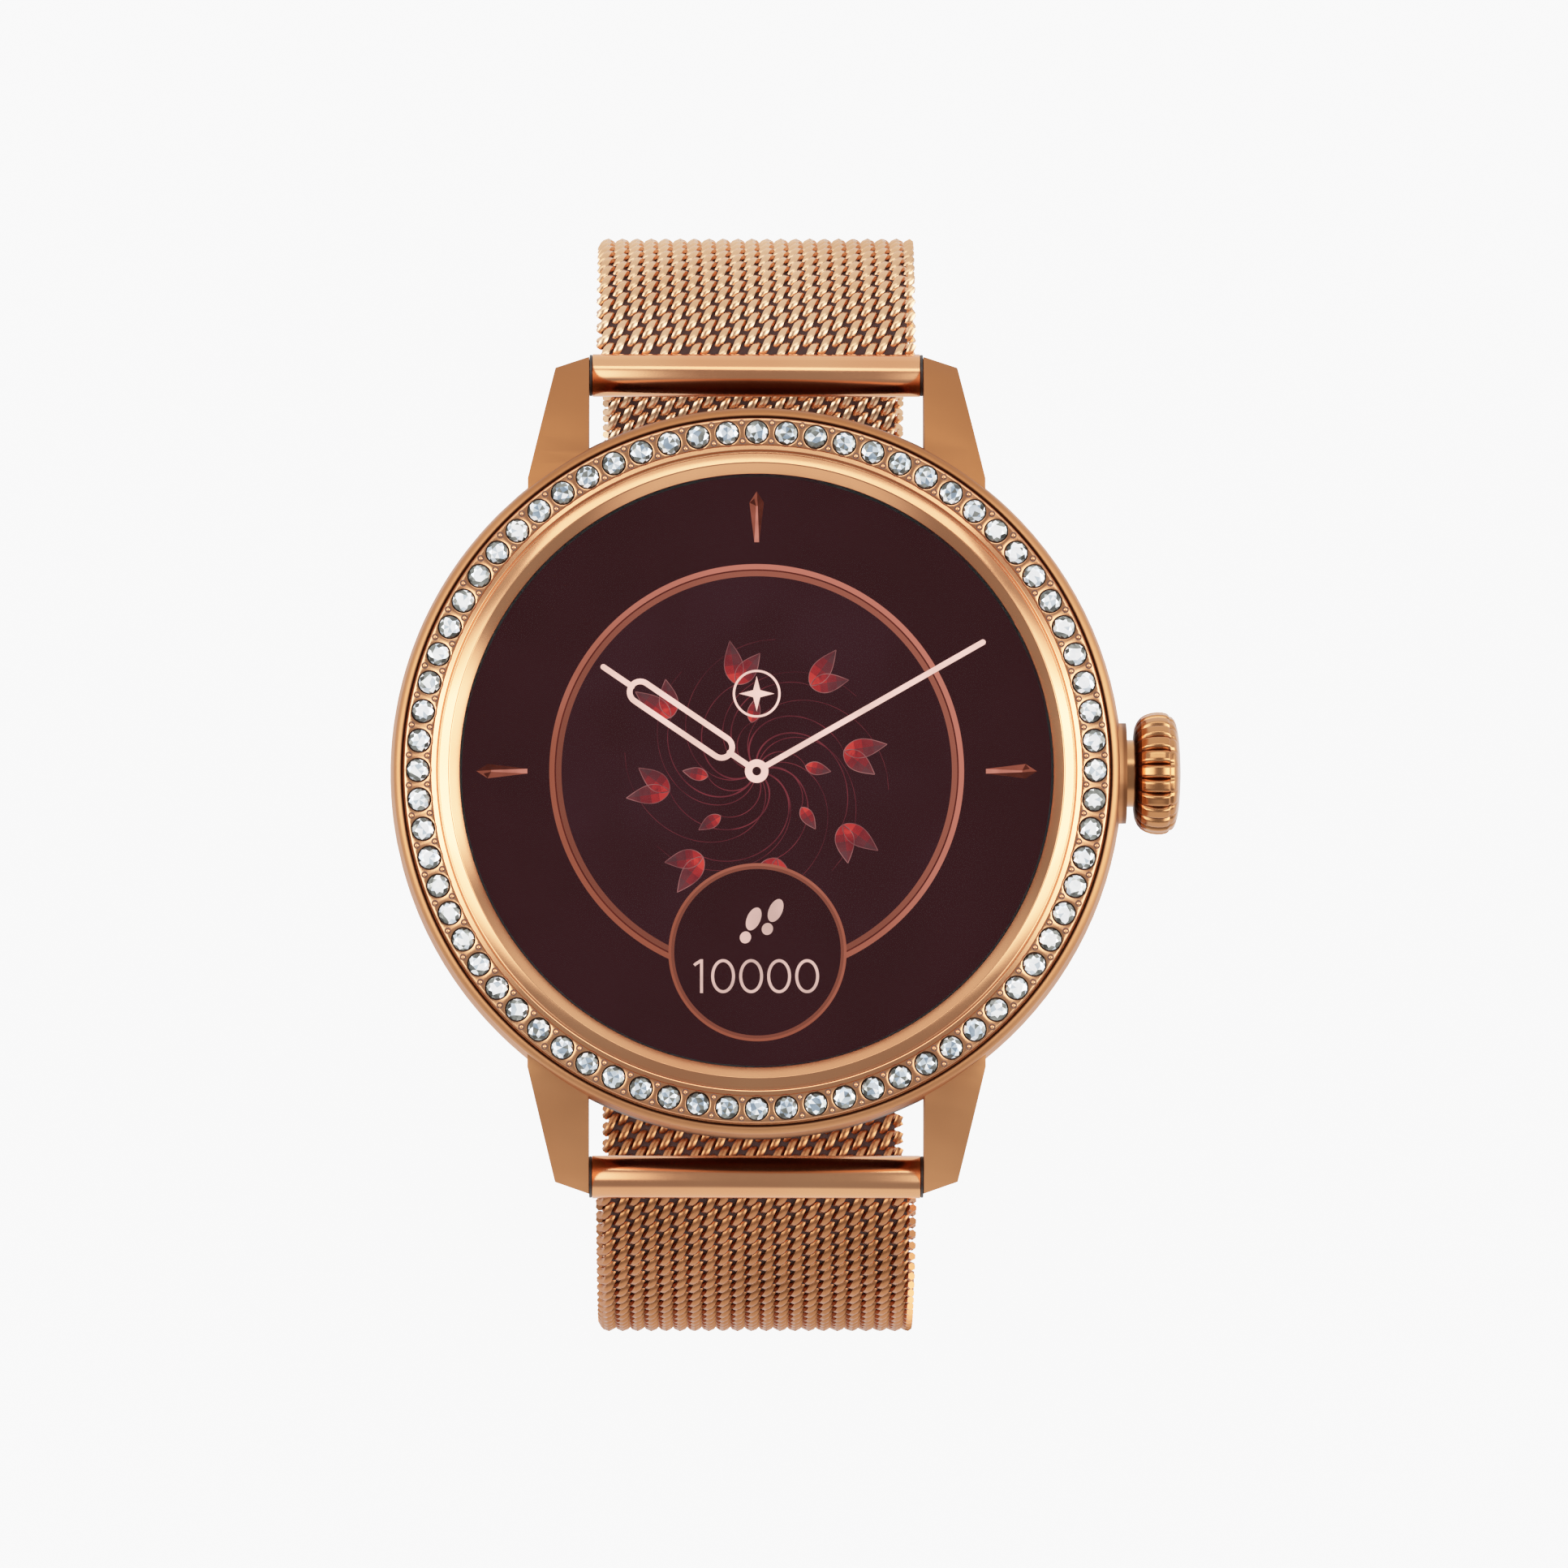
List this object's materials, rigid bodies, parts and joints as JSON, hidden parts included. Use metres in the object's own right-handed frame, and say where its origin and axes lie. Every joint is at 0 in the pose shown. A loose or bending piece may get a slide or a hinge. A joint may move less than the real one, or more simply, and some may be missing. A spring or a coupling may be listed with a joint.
{
  "type": "smartwatch",
  "caption": "Round smartwatch with a stone-set bezel, a fluted side crown and a closed mesh strap with a fold-over clasp.",
  "frame": {"origin": "centre of the sensor window's outer face, on the back of the case", "axes": "+Z out of the dial, +Y towards 12 o'clock and the upper strap, +X towards the crown"},
  "size_m": [0.0471, 0.0666, 0.0646],
  "materials": {
    "satin_rose": "satin rose-gold plated steel",
    "polished_rose": "polished rose-gold plated steel",
    "crown_rose": "polished darker rose-gold plated steel",
    "mesh_rose": "woven rose-gold plated wire",
    "clasp_rose": "satin rose-gold plated steel",
    "crystal": "cut clear crystal",
    "cover_glass": "clear mineral glass",
    "display": "lit display showing a dark red dial",
    "dark_glass": "dark tinted glass",
    "rear_plastic": "fine matt moulded plastic",
    "dark_plastic": "moulded plastic",
    "insulator_plastic": "moulded plastic",
    "chip_black": "epoxy chip package",
    "circuit_board": "green solder mask",
    "flex_film": "amber polyimide film over copper",
    "foam": "dark foam",
    "battery_wrap": "grey film wrap",
    "seal_rubber": "matt black silicone rubber",
    "bright_steel": "plain bright steel",
    "fine_steel_mesh": "fine dark steel mesh",
    "contact_gold": "gold plated contact",
    "led_green": "clear LED package"
  },
  "bodies": {
    "case": {"mid_case": "satin_rose", "bezel_ring": "polished_rose", "bezel_stones": "crystal", "bezel_seal": "seal_rubber", "cover_glass": "cover_glass", "glass_gasket": "seal_rubber", "display_panel": "display", "display_flex": "flex_film", "inner_frame": "dark_plastic", "main_board": "circuit_board", "board_chips": "chip_black", "shield_can": "bright_steel", "battery": "battery_wrap", "battery_lead": "flex_film", "foam_pad": "foam", "vibration_motor": "bright_steel", "speaker_module": "dark_plastic", "speaker_mesh": "fine_steel_mesh", "microphone": "contact_gold", "antenna_strip": "flex_film", "crown_tube": "bright_steel", "crown_switch": "dark_plastic", "crown_flex": "flex_film", "encoder_reader": "chip_black", "sensor_board": "circuit_board", "sensor_leds": "led_green", "photodiodes": "chip_black", "sensor_baffle": "dark_plastic", "sensor_window": "dark_glass", "rear_cover": "rear_plastic", "rear_gasket": "seal_rubber", "rear_screws": "bright_steel", "charging_contacts": "contact_gold", "contact_insulators": "insulator_plastic", "charging_magnets": "bright_steel"},
    "upper_strap": {"upper_end_tube": "polished_rose", "upper_mesh": "mesh_rose", "upper_spring_bar": "bright_steel", "upper_bar_spring": "bright_steel", "upper_end_loop": "polished_rose"},
    "upper_release": {"upper_release_tip": "bright_steel"},
    "lower_strap": {"lower_end_tube": "polished_rose", "lower_mesh": "mesh_rose", "lower_spring_bar": "bright_steel", "lower_bar_spring": "bright_steel", "mesh_tail_tip": "polished_rose", "clasp_body": "clasp_rose", "lock_pin": "bright_steel", "cover_pin": "bright_steel"},
    "lower_release": {"lower_release_tip": "bright_steel"},
    "cover": {"clasp_cover": "clasp_rose"},
    "lock": {"lock_flap": "clasp_rose"},
    "crown_rotor": {"encoder_wheel": "bright_steel"},
    "crown": {"crown_knob": "crown_rose", "crown_stem": "bright_steel", "crown_seals": "seal_rubber", "stem_clip": "bright_steel"}
  },
  "joints": [
    {"name": "clasp_cover_hinge", "type": "hinge", "parent": "lower_strap", "child": "cover", "pos_m": [0, -0.0015, -0.0523], "axis": [-1, 0, 0], "range_deg": [0, 110]},
    {"name": "upper_strap_swing", "type": "hinge", "parent": "case", "child": "upper_strap", "pos_m": [0, 0.024, 0.0026], "axis": [1, 0, 0], "range_deg": [0, 33]},
    {"name": "lower_strap_swing", "type": "hinge", "parent": "case", "child": "lower_strap", "pos_m": [0, -0.024, 0.0026], "axis": [-1, 0, 0], "range_deg": [0, 33]},
    {"name": "lock_flap_hinge", "type": "hinge", "parent": "lower_strap", "child": "lock", "pos_m": [0, -0.0109, -0.0523], "axis": [-1, 0, 0], "range_deg": [0, 70]},
    {"name": "crown_turn", "type": "hinge", "parent": "case", "child": "crown_rotor", "pos_m": [0.0151, 0, 0.0062], "axis": [1, 0, 0], "continuous": true},
    {"name": "crown_press", "type": "slide", "parent": "crown_rotor", "child": "crown", "axis": [-1, 0, 0], "range_m": [0, 0.0004], "stiffness_N_per_m": 3000, "springref_m": -0.0002},
    {"name": "upper_bar_release", "type": "slide", "parent": "upper_strap", "child": "upper_release", "axis": [-1, 0, 0], "range_m": [0, 0.00135], "stiffness_N_per_m": 1500, "springref_m": -0.0005, "deforming": ["upper_bar_spring"]},
    {"name": "lower_bar_release", "type": "slide", "parent": "lower_strap", "child": "lower_release", "axis": [-1, 0, 0], "range_m": [0, 0.00135], "stiffness_N_per_m": 1500, "springref_m": -0.0005, "deforming": ["lower_bar_spring"]}
  ],
  "couplings": [
    {"joint": "upper_strap_swing", "follows": "clasp_cover_hinge", "ratio": 0.3},
    {"joint": "lower_strap_swing", "follows": "clasp_cover_hinge", "ratio": 0.3}
  ]
}
